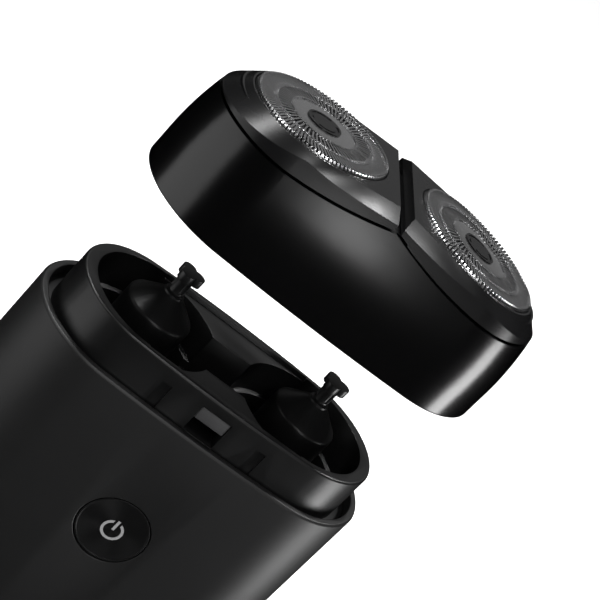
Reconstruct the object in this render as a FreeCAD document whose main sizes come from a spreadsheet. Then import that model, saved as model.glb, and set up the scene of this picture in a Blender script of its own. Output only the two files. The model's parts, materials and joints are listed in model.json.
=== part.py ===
"""Pocket twin-head rotary shaver, in millimetres, +Z up, standing on its base.

X runs across the width, -Y is the front with the power button. The head is drawn
lifted straight up off the handle, as when it is taken off for cleaning.
"""
import FreeCAD, Part
import Sketcher
import math
import os
import re

doc = FreeCAD.newDocument("shaver")
sheet = doc.addObject("Spreadsheet::Sheet", "Sizes")

SIZES = [
    # handle
    ("half_width", 30.0), ("half_depth", 14.75), ("end_radius", 14.2),
    ("sleeve_top", 84.0), ("wall", 1.3), ("cap_height", 2.4), ("cap_plug", 4.0),
    ("edge_round", 1.2), ("rim_chamfer", 0.35), ("fit_gap", 0.1),
    # deck with the hair chamber
    ("deck_half_width", 27.05), ("deck_half_depth", 12.9), ("deck_end_radius", 12.2),
    ("deck_rise", 6.55), ("deck_base", 72.4), ("groove_depth", 1.8), ("flange_thick", 2.5),
    ("pocket_radius", 11.1), ("well_radius", 10.1), ("well_floor", 77.3),
    ("floor_thick", 1.3), ("gear_room_half_width", 25.6), ("gear_room_half_depth", 11.65),
    ("gear_room_end_radius", 11.5), ("channel_half", 4.5), ("channel_floor", 82.6),
    ("front_step", 1.2), ("back_step", 0.8), ("rim_wall", 1.5),
    ("slot_near", 7.7), ("slot_far", 9.4), ("slot_cut", 0.6), ("slot_rise", 3.9),
    ("window_half", 2.6), ("window_low", 83.8), ("window_high", 88.6), ("window_cut", 5.1),
    # drive train
    ("spindle_x", 13.75), ("gear_base", 73.2), ("gear_thick", 2.0), ("hub_radius", 3.4),
    ("post_across", 3.6), ("post_top", 87.0), ("hub_top", 78.2), ("axle_radius", 0.8),
    ("axle_top", 84.0), ("run_gap", 0.05), ("slide_gap", 0.08),
    ("bell_radius", 5.6), ("bell_wall", 0.8), ("bell_base", 79.6), ("bell_top", 91.1),
    ("cone_top", 93.8), ("cone_tip_radius", 1.7), ("stalk_radius", 1.25), ("knob_base", 96.9),
    ("knob_top", 98.3), ("flute_radius", 0.42), ("lobe_radius", 1.2), ("lobe_reach", 1.05),
    ("bore_roof", 89.6), ("sleeve_bore_radius", 2.55), ("plate_base", 70.8), ("plate_thick", 1.6),
    ("motor_radius", 10.0), ("motor_half_depth", 7.7), ("motor_base", 44.0),
    ("motor_boss_radius", 3.0), ("shaft_radius", 1.0), ("shaft_top", 75.8), ("shaft_foot", 60.0),
    # battery, board and button
    ("cell_x", -17.6), ("cell_radius", 7.0), ("cell_base", 13.0), ("cell_top", 63.0),
    ("board_front", -11.0), ("board_thick", 1.0), ("board_half_width", 9.6),
    ("board_low", 46.0), ("board_high", 68.8), ("button_z", 64.3), ("button_radius", 5.55),
    ("button_face", -14.55), ("button_hole", 5.75), ("icon_relief", 0.06),
    ("icon_outer", 1.75), ("icon_inner", 1.33), ("icon_bar_half", 0.21), ("icon_gap_half", 0.62),
    ("screw_x", 3.0), ("screw_y", 9.4), ("screw_radius", 0.65), ("screw_head_radius", 1.3),
    ("screw_head", 0.6),
    # head
    ("lift", 24.8), ("head_wall", 1.5), ("upper_wall", 1.0), ("barrel_start", 4.5),
    ("barrel_radius", 47.0), ("hull_top", 20.5), ("seam_middle", 17.6), ("seam_end", 14.35),
    ("seam_end_x", 22.0), ("seam_gap", 0.45), ("roof_middle", 20.05), ("roof_tilt", 5.0),
    ("land_middle", 18.55), ("land_tilt", 7.0), ("foil_x", 14.37), ("foil_radius", 11.14),
    ("face_end_radius", 11.6), ("face_split_half", 9.8), ("split_half", 0.6),
    ("split_mouth", 1.3), ("pin_z", 13.55), ("pin_radius", 0.8), ("frame_base", 8.5),
    ("frame_thick", 1.7), ("frame_hole", 9.6), ("divider_top", 16.9), ("spring_seat", 16.5),
    ("skirt_gap", 0.3), ("skirt_inset", 3.3), ("cavity_radius", 11.75), ("cavity_depth", 8.5),
    ("hook_low", -6.7), ("hook_shelf", -6.15), ("hook_top", -1.5), ("hook_width", 3.0),
    # foil, cutter and retainer: heights along the foil's own axis, from its seat on the panel
    ("foil_inside", 0.1), ("foil_middle", 0.4), ("foil_groove", 0.42), ("foil_ridge", 0.6),
    ("foil_edge", 0.45), ("foil_foot", -1.4), ("foil_foot_low", -1.85), ("foil_wall", 0.5),
    ("cap_hole", 1.3), ("cap_radius", 2.75), ("cap_face", 0.58), ("spring_low", -4.35),
    ("cutter_low", -3.9), ("cutter_high", -3.2), ("cutter_radius", 8.2), ("cutter_hole", 2.0),
    ("blade_near", 5.0), ("blade_far", 9.6), ("blade_half", 0.3), ("blade_rise", 3.2),
    ("socket_radius", 3.05), ("socket_roof", -4.4), ("carrier_radius", 3.9), ("carrier_low", -8.5),
    ("retainer_low", -6.0), ("retainer_high", -4.6), ("retainer_radius", 10.75),
    ("retainer_hole", 8.7), ("guide_high", -5.1), ("guide_radius", 5.1), ("guide_hole", 4.25),
]
for row, (alias, size) in enumerate(SIZES, start=1):
    sheet.set("A%d" % row, alias)
    sheet.set("B%d" % row, str(size))
    sheet.setAlias("B%d" % row, alias)
doc.recompute()

ALIASES = {alias for alias, size in SIZES}

# springs are swept in stretches of half a turn, which keeps each face simple
HALF_TURN = 0.5
nodes = {}


# ---------------------------------------------------------------- expressions and sketches

def sized(text):
    """The expression with each size named as a cell of the sheet."""
    def swap(found):
        word = found.group(0)
        return "Sizes." + word if word in ALIASES else word
    return re.sub(r"[a-z_]+", swap, str(text))


def value(text):
    """The expression's present value."""
    return float(sheet.evalExpression(sized(text)))


def link(thing, prop, text):
    """Bind a property to an expression of the sheet."""
    thing.setExpression(prop, sized(text))


def keep(name, thing):
    """Register a finished sub-part under its own name."""
    thing.Label = name
    nodes[name] = thing
    return thing


def new_body(name):
    return doc.addObject("PartDesign::Body", name + "_body")


def new_sketch(body, plane="XY", offset="0"):
    """A sketch on one of the body's own origin planes, moved along its normal."""
    sketch = body.newObject("Sketcher::SketchObject", "outline")
    datum = [item for item in body.Origin.OriginFeatures if item.Role == plane + "_Plane"][0]
    sketch.AttachmentSupport = (datum, [""])
    sketch.MapMode = "FlatFace"
    link(sketch, "AttachmentOffset.Base.z", offset)
    return sketch


def rule(sketch, kind, *where, size=None):
    """Add a constraint, bound to an expression when it has a size."""
    if size is None:
        return sketch.addConstraint(Sketcher.Constraint(kind, *where))
    index = sketch.addConstraint(Sketcher.Constraint(kind, *where, value(size)))
    link(sketch, "Constraints[%d]" % index, size)
    return index


def pin_point(sketch, edge, point, x, y):
    """Hold a point of an edge at x, y from the sketch's origin."""
    if value(x) == 0:
        rule(sketch, "PointOnObject", edge, point, -2)
    else:
        rule(sketch, "DistanceX", -1, 1, edge, point, size=x)
    if value(y) == 0:
        rule(sketch, "PointOnObject", edge, point, -1)
    else:
        rule(sketch, "DistanceY", -1, 1, edge, point, size=y)


def circle(sketch, radius, x="0", y="0"):
    spot = FreeCAD.Vector(value(x), value(y), 0)
    edge = sketch.addGeometry(Part.Circle(spot, FreeCAD.Vector(0, 0, 1), value(radius)))
    rule(sketch, "Radius", edge, size=radius)
    pin_point(sketch, edge, 3, x, y)


def outline(sketch, corners):
    """A closed run of straight lines through corners, each an (x, y) pair of expressions."""
    spots = [FreeCAD.Vector(value(x), value(y), 0) for x, y in corners]
    edges = []
    for start, end in zip(spots, spots[1:] + spots[:1]):
        edges.append(sketch.addGeometry(Part.LineSegment(start, end)))
    for edge, after in zip(edges, edges[1:] + edges[:1]):
        rule(sketch, "Coincident", edge, 2, after, 1)
    for edge, (x, y) in zip(edges, corners):
        pin_point(sketch, edge, 1, x, y)


def box_outline(sketch, left, low, right, high):
    outline(sketch, [(left, low), (right, low), (right, high), (left, high)])


def oval(sketch, across, deep, corner):
    """A four-arc oval about the origin: round ends joined by gently bowed sides."""
    half, depth, end = value(across), value(deep), value(corner)
    reach = half - end
    bow_text = "((({0})-({2}))^2+({1})^2-({2})^2)/(2*(({1})-({2})))".format(across, deep, corner)
    bow = value(bow_text)
    sweep = math.atan2(bow - depth, reach)
    up = FreeCAD.Vector(0, 0, 1)
    arcs = [
        (reach, 0, end, -sweep, sweep),
        (0, depth - bow, bow, sweep, math.pi - sweep),
        (-reach, 0, end, math.pi - sweep, math.pi + sweep),
        (0, bow - depth, bow, math.pi + sweep, 2 * math.pi - sweep),
    ]
    edges = []
    for x, y, radius, start, stop in arcs:
        round_edge = Part.Circle(FreeCAD.Vector(x, y, 0), up, radius)
        edges.append(sketch.addGeometry(Part.ArcOfCircle(round_edge, start, stop)))
    for edge, after in zip(edges, edges[1:] + edges[:1]):
        rule(sketch, "Tangent", edge, 2, after, 1)
    rule(sketch, "PointOnObject", edges[0], 3, -1)
    rule(sketch, "Radius", edges[0], size=corner)
    rule(sketch, "Equal", edges[0], edges[2])
    rule(sketch, "Radius", edges[1], size=bow_text)
    rule(sketch, "Equal", edges[1], edges[3])
    rule(sketch, "DistanceX", -1, 1, edges[0], 3, size="(%s)-(%s)" % (across, corner))
    rule(sketch, "Symmetric", edges[0], 3, edges[2], 3, -1, 1)


# ---------------------------------------------------------------- features

def pad(body, sketch, length, both=False, back=False):
    feature = body.newObject("PartDesign::Pad", "pad")
    feature.Profile = sketch
    feature.Midplane = both
    feature.Reversed = back
    link(feature, "Length", length)
    return feature


def pocket(body, sketch, length, both=False, back=False):
    """Cut the sketch out of the body, and make sure that it did cut."""
    doc.recompute()
    if body.Shape.isNull():
        raise RuntimeError("nothing to cut in " + body.Name)
    before = body.Shape.Volume
    feature = body.newObject("PartDesign::Pocket", "pocket")
    feature.Profile = sketch
    feature.Midplane = both
    feature.Reversed = back
    link(feature, "Length", length)
    doc.recompute()
    if body.Shape.Volume > before - 1e-6:
        raise RuntimeError("pocket cuts nothing in " + body.Name)
    return feature


def turn(body, sketch):
    """Revolve a sketch about its own upright axis."""
    feature = body.newObject("PartDesign::Revolution", "turned")
    feature.Profile = sketch
    feature.ReferenceAxis = (sketch, ["V_Axis"])
    feature.Angle = 360
    return feature


def place(thing, x="0", y="0", z="0", tilt=None):
    """Place a sub-part, leaning about Y by an angle where one is given."""
    if tilt is not None:
        thing.Placement = FreeCAD.Placement(
            FreeCAD.Vector(0, 0, 0), FreeCAD.Rotation(FreeCAD.Vector(0, 1, 0), value(tilt)))
        link(thing, "Placement.Rotation.Angle", tilt)
    link(thing, "Placement.Base.x", x)
    link(thing, "Placement.Base.y", y)
    link(thing, "Placement.Base.z", z)
    return thing


def plate(name, low, high, draw, plane="XY"):
    """A body with one pad between two heights; draw adds its outline to the sketch."""
    body = new_body(name)
    sketch = new_sketch(body, plane, low)
    draw(sketch)
    pad(body, sketch, "(%s)-(%s)" % (high, low))
    return body


def cut_through(body, low, high, draw, plane="XY"):
    """Pocket a body between two heights along the plane's normal."""
    sketch = new_sketch(body, plane, high)
    draw(sketch)
    return pocket(body, sketch, "(%s)-(%s)" % (high, low))


def add_block(body, low, high, draw, plane="XY"):
    sketch = new_sketch(body, plane, low)
    draw(sketch)
    return pad(body, sketch, "(%s)-(%s)" % (high, low))


def turned(name, corners):
    """A body revolved from a half profile of (radius, height) corners."""
    body = new_body(name)
    sketch = new_sketch(body, "XZ")
    outline(sketch, corners)
    turn(body, sketch)
    return body


def join(kind, base, *tools):
    """A Part boolean: Cut takes one base and one tool, the others take them all."""
    result = doc.addObject("Part::" + kind, "joined")
    if kind == "Cut":
        result.Base = base
        result.Tool = tools[0]
    else:
        result.Shapes = [base] + list(tools)
    return result


def group(pieces):
    """Several separate solids that share one node."""
    result = doc.addObject("Part::Compound", "group")
    result.Links = pieces
    return result


def coil(radius, wire, pitch, length):
    """A round-wire spring standing on the XY plane."""
    helix = doc.addObject("Part::Helix", "coil_path")
    link(helix, "Radius", radius)
    link(helix, "Pitch", pitch)
    link(helix, "Height", length)
    helix.SegmentLength = HALF_TURN
    section = doc.addObject("Part::Circle", "coil_wire")
    link(section, "Radius", wire)
    section.Placement.Rotation = FreeCAD.Rotation(FreeCAD.Vector(1, 0, 0), 90)
    link(section, "Placement.Base.x", radius)
    spring = doc.addObject("Part::Sweep", "spring")
    spring.Sections = [section]
    spring.Spine = (helix, [])
    spring.Solid = True
    spring.Frenet = True
    return spring


def round_edges(body, kind, size, wanted):
    """Round or chamfer the edges of a body that the test picks out."""
    doc.recompute()
    tip = body.Tip
    names = ["Edge%d" % n for n, edge in enumerate(tip.Shape.Edges, start=1) if wanted(edge)]
    if not names:
        raise RuntimeError("no edge to soften on " + body.Name)
    feature = body.newObject("PartDesign::" + kind, "softened")
    feature.Base = (tip, names)
    link(feature, "Radius" if kind == "Fillet" else "Size", size)
    return feature


def at_height(height, reach="0"):
    """A test for level edges at one height that run outside a distance from the Z axis."""
    def wanted(edge):
        box = edge.BoundBox
        far = max(abs(box.XMin), abs(box.XMax)) > value(reach)
        return far and abs(box.ZMin - value(height)) < 1e-4 and box.ZLength < 1e-4
    return wanted


# ---------------------------------------------------------------- handle: casing and inlet

def sleeve_oval(inset="0"):
    return lambda sketch: oval(sketch, "half_width-(%s)" % inset, "half_depth-(%s)" % inset,
                               "end_radius-(%s)" % inset)


def make_sleeve():
    sleeve = plate("sleeve", "cap_height", "sleeve_top", sleeve_oval())
    cut_through(sleeve, "cap_height", "sleeve_top", sleeve_oval("wall"))
    cut_through(sleeve, "half_depth-3", "half_depth+1",
                lambda sketch: circle(sketch, "button_hole", "0", "button_z"), "XZ")
    round_edges(sleeve, "Chamfer", "rim_chamfer", at_height("sleeve_top", "half_width-wall/2"))
    keep("sleeve", sleeve)


def make_base_cap():
    cap = plate("base_cap", "0", "cap_height", sleeve_oval())
    add_block(cap, "cap_height", "cap_height+cap_plug", sleeve_oval("wall+fit_gap"))
    cut_through(cap, "cap_height", "cap_height+cap_plug", sleeve_oval("wall+fit_gap+1.5"))
    cut_through(cap, "0", "cap_height", lambda sketch: oval(sketch, "4.6", "1.75", "1.7"))
    cut_through(cap, "0", "cap_height", lambda sketch: circle(sketch, "1.05", "9.5"))
    round_edges(cap, "Fillet", "edge_round", at_height("0", "half_width-1"))
    keep("base_cap", cap)


def make_inlet():
    shell = plate("charging_inlet", "0.4", "7.2", lambda sketch: oval(sketch, "4.47", "1.6", "1.55"))
    cut_through(shell, "0.4", "6.6", lambda sketch: oval(sketch, "4.2", "1.33", "1.28"))
    keep("charging_inlet", shell)
    tongue = plate("inlet_tongue", "1.2", "6.6",
                   lambda sketch: box_outline(sketch, "-3.2", "-0.35", "3.2", "0.35"))
    keep("inlet_tongue", tongue)
    board = plate("inlet_board", "7.2", "8.2",
                  lambda sketch: box_outline(sketch, "-8", "-4.5", "11", "4.5"))
    keep("inlet_board", board)
    light = turned("charge_light", [("0", "0.1"), ("1", "0.1"), ("1", "cap_height"),
                                    ("1.6", "cap_height"), ("1.6", "cap_height+1"),
                                    ("0", "cap_height+1")])
    keep("charge_light", place(light, x="9.5"))


# ---------------------------------------------------------------- handle: battery, chassis, board

def make_battery():
    cell = turned("battery_cell", [("0", "cell_base"), ("cell_radius", "cell_base"),
                                   ("cell_radius", "cell_top"), ("2.7", "cell_top"),
                                   ("2.7", "cell_top+1"), ("0", "cell_top+1")])
    keep("battery_cell", place(cell, x="cell_x"))
    tabs = []
    for low in ("cell_base-0.2", "cell_top+1"):
        tab = plate("battery_tab", low, low + "+0.2",
                    lambda sketch: box_outline(sketch, "cell_x-2", "-4", "cell_x+2", "2.4"))
        tabs.append(tab)
    keep("battery_tabs", group(tabs))


def make_chassis():
    chassis = plate("chassis", "-9.9", "-8.4",
                    lambda sketch: box_outline(sketch, "-21", "9", "21", "plate_base"), "XZ")
    add_block(chassis, "9", "10.5", lambda sketch: oval(sketch, "24", "9.9", "9.4"))
    add_block(chassis, "34", "38", lambda sketch: circle(sketch, "cell_radius+1.5", "cell_x"))
    cut_through(chassis, "33", "39", lambda sketch: circle(sketch, "cell_radius+run_gap", "cell_x"))
    add_block(chassis, "38.4", "40",
              lambda sketch: box_outline(sketch, "-8.4", "-7", "14", "8.5"))
    for x in ("-screw_x", "screw_x"):
        add_block(chassis, "58", "plate_base", lambda sketch: circle(sketch, "1.5", x, "screw_y"))
        cut_through(chassis, "64", "plate_base",
                    lambda sketch: circle(sketch, "screw_radius+run_gap", x, "screw_y"))
    keep("chassis", chassis)


def make_board():
    board = plate("circuit_board", "-board_front-board_thick", "-board_front",
                  lambda sketch: box_outline(sketch, "-board_half_width", "board_low",
                                             "board_half_width", "board_high"), "XZ")
    keep("circuit_board", board)
    chips = []
    for left, low, right, high in (("-4", "52", "1", "57"), ("3", "49", "7", "52"),
                                   ("3.5", "54", "6.5", "59")):
        chip = plate("chip", "-board_front-board_thick-1", "-board_front-board_thick",
                     lambda sketch: box_outline(sketch, left, low, right, high), "XZ")
        chips.append(chip)
    keep("board_chips", group(chips))
    switch = plate("push_switch", "-board_front", "-board_front+0.9",
                   lambda sketch: box_outline(sketch, "-2.2", "button_z-2.2", "2.2",
                                              "button_z+2.2"), "XZ")
    add_block(switch, "-board_front+0.9", "-board_front+1.2",
              lambda sketch: circle(sketch, "0.9", "0", "button_z"), "XZ")
    keep("push_switch", switch)


def make_button():
    def disc(radius):
        return lambda sketch: circle(sketch, radius, "0", "button_z")
    button = plate("power_button", "12.9", "13.35", disc("button_radius+0.9"), "XZ")
    add_block(button, "13.35", "-button_face+0.1", disc("button_radius"), "XZ")
    cut_through(button, "-button_face", "-button_face+0.1", disc("button_radius-0.3"), "XZ")
    add_block(button, "12.75", "12.9", disc("1.1"), "XZ")
    keep("power_button", button)
    icon = plate("power_icon", "-button_face", "-button_face+icon_relief", disc("icon_outer"), "XZ")
    cut_through(icon, "-button_face", "-button_face+icon_relief", disc("icon_inner"), "XZ")
    cut_through(icon, "-button_face", "-button_face+icon_relief",
                lambda sketch: box_outline(sketch, "-icon_gap_half", "button_z+0.4",
                                           "icon_gap_half", "button_z+3"), "XZ")
    bar = plate("icon_bar", "-button_face", "-button_face+icon_relief",
                lambda sketch: box_outline(sketch, "-icon_bar_half", "button_z+0.1",
                                           "icon_bar_half", "button_z+icon_outer+0.2"), "XZ")
    keep("power_icon", group([icon, bar]))
    spring = coil("4.6", "0.2", "0.8", "1.4")
    spring.Placement.Rotation = FreeCAD.Rotation(FreeCAD.Vector(1, 0, 0), 90)
    keep("button_spring", place(spring, y="-11.25", z="button_z"))


# ---------------------------------------------------------------- handle: motor and gears

def flat_sided(name, low, high, radius, half_depth):
    """A round can with its front and back cut flat."""
    can = plate(name, low, high, lambda sketch: circle(sketch, radius))

    def sides(sketch):
        box_outline(sketch, "-motor_radius-1", half_depth, "motor_radius+1", "motor_radius+1")
        box_outline(sketch, "-motor_radius-1", "-motor_radius-1", "motor_radius+1", "-" + half_depth)
    cut_through(can, low, high, sides)
    return can


def make_motor():
    can = flat_sided("motor_can", "motor_base", "plate_base", "motor_radius", "motor_half_depth")
    add_block(can, "plate_base", "plate_base+1.4", lambda sketch: circle(sketch, "motor_boss_radius"))
    cut_through(can, "shaft_foot-0.3", "plate_base+1.4",
                lambda sketch: circle(sketch, "shaft_radius+run_gap"))
    keep("motor_can", can)
    keep("motor_end_bell", flat_sided("motor_end_bell", "motor_base-2", "motor_base", "9.6", "7.3"))
    terminals = []
    for x in ("-6", "6"):
        tab = plate("terminal", "motor_base-3.4", "motor_base-2",
                    lambda sketch: box_outline(sketch, x + "-0.2", "-1.1", x + "+0.2", "1.1"))
        terminals.append(tab)
    keep("motor_terminals", group(terminals))
    shaft = plate("motor_shaft", "shaft_foot", "shaft_top",
                  lambda sketch: circle(sketch, "shaft_radius"))
    keep("motor_shaft", shaft)


GEAR_MODULE = 0.5
PINION_TEETH = 13
GEAR_TEETH = 42
PRESSURE_ANGLE = math.radians(20)


def tooth_wire(teeth, phase):
    """The outline of an involute gear, with a tooth centred on the phase angle."""
    pitch = GEAR_MODULE * teeth / 2
    base = pitch * math.cos(PRESSURE_ANGLE)
    tip = pitch + 0.9 * GEAR_MODULE
    root = pitch - 1.2 * GEAR_MODULE
    backlash = 0.05
    half_tooth = math.pi / (2 * teeth) - backlash / (2 * pitch)

    def involute(angle):
        return math.tan(angle) - angle

    def half_angle(radius):
        pressure = math.acos(min(1.0, base / radius))
        return half_tooth + involute(PRESSURE_ANGLE) - involute(pressure)

    start = max(base, root)
    flank = [start + (tip - start) * step / 4 for step in range(5)]
    points = []
    for tooth in range(teeth):
        middle = phase + 2 * math.pi * tooth / teeth
        rising = [(root, half_angle(start))] + [(radius, half_angle(radius)) for radius in flank]
        for radius, half in rising:
            points.append((radius, middle - half))
        for radius, half in reversed(rising):
            points.append((radius, middle + half))
    spots = [FreeCAD.Vector(r * math.cos(a), r * math.sin(a), 0) for r, a in points]
    return Part.makePolygon(spots + spots[:1])


def toothed_disc(name, teeth, phase=0.0):
    disc = doc.addObject("Part::Feature", name)
    up = FreeCAD.Vector(0, 0, value("gear_thick"))
    disc.Shape = Part.Face(tooth_wire(teeth, phase)).extrude(up)
    disc.Placement.Base.z = value("gear_base")
    return disc


def bore_tool(radius, low, high, x="0", y="0"):
    tool = doc.addObject("Part::Cylinder", "bore")
    link(tool, "Radius", radius)
    link(tool, "Height", "(%s)-(%s)" % (high, low))
    return place(tool, x=x, y=y, z=low)


def make_gears():
    pinion = toothed_disc("pinion_teeth", PINION_TEETH)
    pinion = join("Cut", pinion, bore_tool("shaft_radius", "gear_base-1", "gear_base+4"))
    keep("motor_pinion", pinion)
    for side, sign in (("left", "-"), ("right", "")):
        phase = 0.0 if side == "left" else math.pi / GEAR_TEETH
        teeth = toothed_disc(side + "_teeth", GEAR_TEETH, phase)
        hub = plate("hub", "gear_base", "hub_top", lambda sketch: circle(sketch, "hub_radius"))
        add_block(hub, "hub_top", "post_top", lambda sketch: hexagon(sketch, "post_across"))
        solid = join("MultiFuse", teeth, hub)
        gear = join("Cut", solid, bore_tool("axle_radius+run_gap", "gear_base-1", "axle_top+0.5"))
        keep(side + "_drive_gear", place(gear, x=sign + "spindle_x"))
        axle = plate("axle", "plate_base", "axle_top", lambda sketch: circle(sketch, "axle_radius"))
        keep(side + "_gear_axle", place(axle, x=sign + "spindle_x"))


def hexagon(sketch, across):
    """A hexagon about the origin, flat faces front and back."""
    tip = "(%s)/sqrt(3)" % across
    flat = "(%s)/2" % across
    outline(sketch, [(tip, "0"), (tip + "/2", flat), ("-" + tip + "/2", flat),
                     ("-" + tip, "0"), ("-" + tip + "/2", "-" + flat), (tip + "/2", "-" + flat)])


def make_gear_plate():
    high = "plate_base+plate_thick"
    gear_plate = plate("gear_plate", "plate_base", high,
                       lambda sketch: oval(sketch, "26.8", "12.8", "12.1"))
    cut_through(gear_plate, "plate_base", high,
                lambda sketch: circle(sketch, "motor_boss_radius+fit_gap"))

    def holes(sketch):
        for x in ("-spindle_x", "spindle_x"):
            circle(sketch, "axle_radius", x)
        for x in ("-screw_x", "screw_x"):
            for y in ("-screw_y", "screw_y"):
                circle(sketch, "screw_radius+0.15", x, y)
    cut_through(gear_plate, "plate_base", high, holes)
    keep("gear_plate", gear_plate)
    screws = []
    for x in ("-screw_x", "screw_x"):
        screws.append(place(screw("65", high, high + "+screw_head"), x=x, y="screw_y"))
        screws.append(place(screw("75.4", "plate_base", "plate_base-screw_head"), x=x, y="-screw_y"))
    keep("gear_plate_screws", group(screws))


def screw(tip, shoulder, head_end):
    """A screw on the Z axis: its shank runs from tip to shoulder, its head on to head_end."""
    return turned("screw", [("0", tip), ("screw_radius", tip), ("screw_radius", shoulder),
                            ("screw_head_radius", shoulder), ("screw_head_radius", head_end),
                            ("0", head_end)])


# ---------------------------------------------------------------- handle: deck and chamber

def make_deck():
    top = "sleeve_top+deck_rise"
    groove = "sleeve_top-groove_depth"
    deck = plate("deck", "deck_base", top,
                 lambda sketch: oval(sketch, "deck_half_width", "deck_half_depth", "deck_end_radius"))
    add_block(deck, groove + "-flange_thick", groove, sleeve_oval("wall+fit_gap"))
    cut_through(deck, "deck_base", "well_floor",
                lambda sketch: oval(sketch, "gear_room_half_width", "gear_room_half_depth",
                                    "gear_room_end_radius"))

    def pair(radius):
        def draw(sketch):
            circle(sketch, radius, "-spindle_x")
            circle(sketch, radius, "spindle_x")
        return draw
    cut_through(deck, "well_floor", "sleeve_top", pair("well_radius"))
    cut_through(deck, "sleeve_top", top, pair("pocket_radius"))
    cut_through(deck, "channel_floor", top,
                lambda sketch: box_outline(sketch, "-spindle_x", "-channel_half", "spindle_x",
                                           "channel_half"))
    cut_through(deck, top + "-front_step", top,
                lambda sketch: box_outline(sketch, "-spindle_x", "-deck_half_depth+rim_wall",
                                           "spindle_x", "0"))
    cut_through(deck, top + "-back_step", top,
                lambda sketch: box_outline(sketch, "-spindle_x", "0", "spindle_x",
                                           "deck_half_depth-rim_wall"))
    cut_through(deck, "deck_half_depth-window_cut", "deck_half_depth+1",
                lambda sketch: box_outline(sketch, "-window_half", "window_low", "window_half",
                                           "window_high"), "XZ")
    for left, right in (("-slot_far", "-slot_near"), ("slot_near", "slot_far")):
        cut_through(deck, "deck_half_depth-slot_cut", "deck_half_depth+1",
                    lambda sketch: box_outline(sketch, left, "sleeve_top-1", right, "sleeve_top+slot_rise"),
                    "XZ")
    round_edges(deck, "Fillet", "0.45", at_height(top, "deck_half_width-1"))
    keep("deck", deck)


def make_chamber_floor():
    low = "well_floor-floor_thick"
    floor = plate("chamber_floor", low, "well_floor",
                  lambda sketch: oval(sketch, "gear_room_half_width-fit_gap",
                                      "gear_room_half_depth-fit_gap", "gear_room_end_radius-fit_gap"))

    def hub_holes(sketch):
        circle(sketch, "hub_radius+0.3", "-spindle_x")
        circle(sketch, "hub_radius+0.3", "spindle_x")
    cut_through(floor, low, "well_floor", hub_holes)
    for x in ("-screw_x", "screw_x"):
        add_block(floor, "deck_base", low, lambda sketch: circle(sketch, "1.6", x, "-screw_y"))
        cut_through(floor, "deck_base", low,
                    lambda sketch: circle(sketch, "screw_radius", x, "-screw_y"))
    keep("chamber_floor", floor)


def make_deck_seal():
    high = "sleeve_top-groove_depth-flange_thick"
    seal = plate("deck_seal", high + "-1.1", high, sleeve_oval("wall+run_gap"))
    cut_through(seal, high + "-1.1", high,
                lambda sketch: oval(sketch, "deck_half_width+0.03", "deck_half_depth+0.03",
                                    "deck_end_radius+0.03"))
    keep("deck_seal", seal)


def make_catch():
    front = "deck_half_depth-0.15"
    catch = plate("head_catch", front + "-1.9", front,
                  lambda sketch: box_outline(sketch, "-window_half+0.1", "window_high-2.3",
                                             "window_half-0.1", "window_high-0.1"), "XZ")
    keep("head_catch", catch)
    spring = coil("0.75", "0.15", "0.8", "2.4")
    spring.Placement.Rotation = FreeCAD.Rotation(FreeCAD.Vector(1, 0, 0), 90)
    keep("catch_spring", place(spring, y="-deck_half_depth+window_cut-0.2", z="window_high-1.2"))


# ---------------------------------------------------------------- handle: spindles

def make_spindles():
    for side, sign in (("left", "-"), ("right", "")):
        inner = "bell_radius-bell_wall"
        spindle = turned("bell_spindle", [
            ("0", "bell_base+0.8"), ("sleeve_bore_radius", "bell_base+0.8"),
            ("sleeve_bore_radius", "bell_top-1.2"), (inner, "bell_top-1.2"), (inner, "bell_base"),
            ("bell_radius", "bell_base"), ("bell_radius", "bell_top-0.4"),
            ("cone_tip_radius", "cone_top"), ("cone_tip_radius", "cone_top+0.3"),
            ("stalk_radius", "cone_top+0.6"), ("stalk_radius", "knob_base"), ("0", "knob_base")])
        cut_through(spindle, "bell_base+0.8", "bore_roof",
                    lambda sketch: hexagon(sketch, "post_across+2*slide_gap"))
        for turn_angle in (0, 120, 240):
            x = "lobe_reach*cos(%d)" % turn_angle
            y = "lobe_reach*sin(%d)" % turn_angle
            if turn_angle == 0:
                y = "0"
            add_block(spindle, "knob_base", "knob_top",
                      lambda sketch: circle(sketch, "lobe_radius", x, y))
        for turn_angle in (60, 180, 300):
            x = "(stalk_radius+0.12)*cos(%d)" % turn_angle
            y = "(stalk_radius+0.12)*sin(%d)" % turn_angle
            if turn_angle == 180:
                y = "0"
            cut_through(spindle, "cone_top+0.9", "knob_base",
                        lambda sketch: circle(sketch, "flute_radius", x, y))
        round_edges(spindle, "Fillet", "0.7", at_height("bell_top-0.4", "bell_radius-0.1"))
        keep(side + "_bell_spindle", place(spindle, x=sign + "spindle_x"))
        spring = coil("2.9", "0.2", "1.9", "bell_top-1.45-hub_top-0.25")
        keep(side + "_spindle_spring", place(spring, x=sign + "spindle_x", z="hub_top+0.25"))


# ---------------------------------------------------------------- head: shell and frame

HEAD_Z = "sleeve_top+lift"
FRAME_TOP = "frame_base+frame_thick"
SEAM_RADIUS = "((seam_end_x)^2+(seam_middle-seam_end)^2)/(2*(seam_middle-seam_end))"

# the middle of the foil's seat, on the sloping face of the panel, above the head's rim
FACE_Z = "(roof_middle-foil_x*tan(roof_tilt))"

# how many slices the barrelled wall is drawn with
HULL_STEPS = 6

BLADES = 15


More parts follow.
